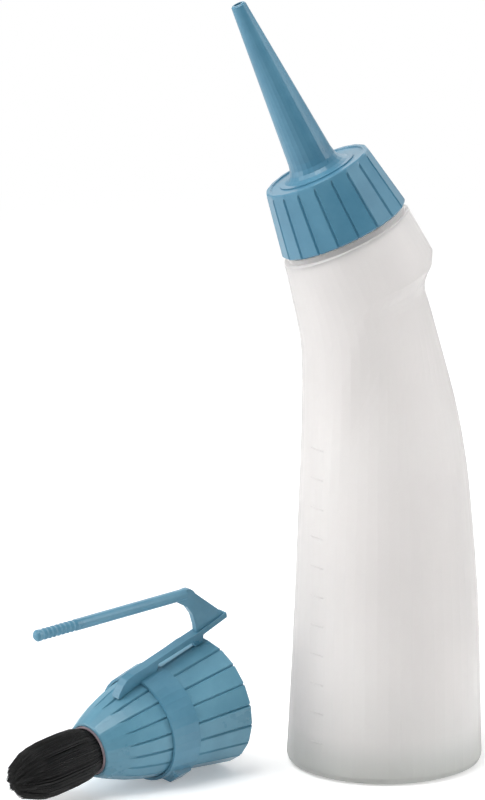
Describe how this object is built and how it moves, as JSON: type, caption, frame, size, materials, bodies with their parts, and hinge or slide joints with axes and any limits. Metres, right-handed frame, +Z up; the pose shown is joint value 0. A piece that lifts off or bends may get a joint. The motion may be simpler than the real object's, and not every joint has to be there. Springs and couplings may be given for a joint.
{
  "type": "applicator bottle",
  "caption": "Translucent squeeze bottle with a bent neck, a finger ledge and a screw cap with a long nozzle; a brush cap for the same neck lies beside it with its long-armed clip.",
  "frame": {"origin": "centre of the whole set's footprint, on the surface it stands on", "axes": "+Z up, +X to the right and +Y away from the picture's camera"},
  "size_m": [0.163, 0.1024, 0.2673],
  "materials": {
    "bottle_plastic": "translucent, softly glossy",
    "blue_plastic": "satin",
    "seal_foam": "matte",
    "ferrule_plastic": "satin",
    "bristle": "fine filaments"
  },
  "bodies": {
    "bottle_body": {"bottle": "bottle_plastic", "brush_cap": "blue_plastic", "brush_seal": "seal_foam", "bristle_ferrule": "ferrule_plastic", "bristles": "bristle", "clip": "blue_plastic"},
    "cap_seal": {"nozzle_seal": "seal_foam"},
    "nozzle": {"nozzle_cap": "blue_plastic"}
  },
  "joints": [
    {"name": "cap_lift", "type": "slide", "parent": "bottle_body", "child": "cap_seal", "axis": [-0.4179, 0, 0.9085], "range_m": [0, 0.0063]},
    {"name": "cap_turn", "type": "hinge", "parent": "cap_seal", "child": "nozzle", "pos_m": [0.0337, 0.01752, 0.18801], "axis": [-0.4179, 0, 0.9085], "range_deg": [0, 450]}
  ],
  "couplings": [
    {"joint": "cap_lift", "follows": "cap_turn", "m_per_rad": 0.00079577}
  ]
}
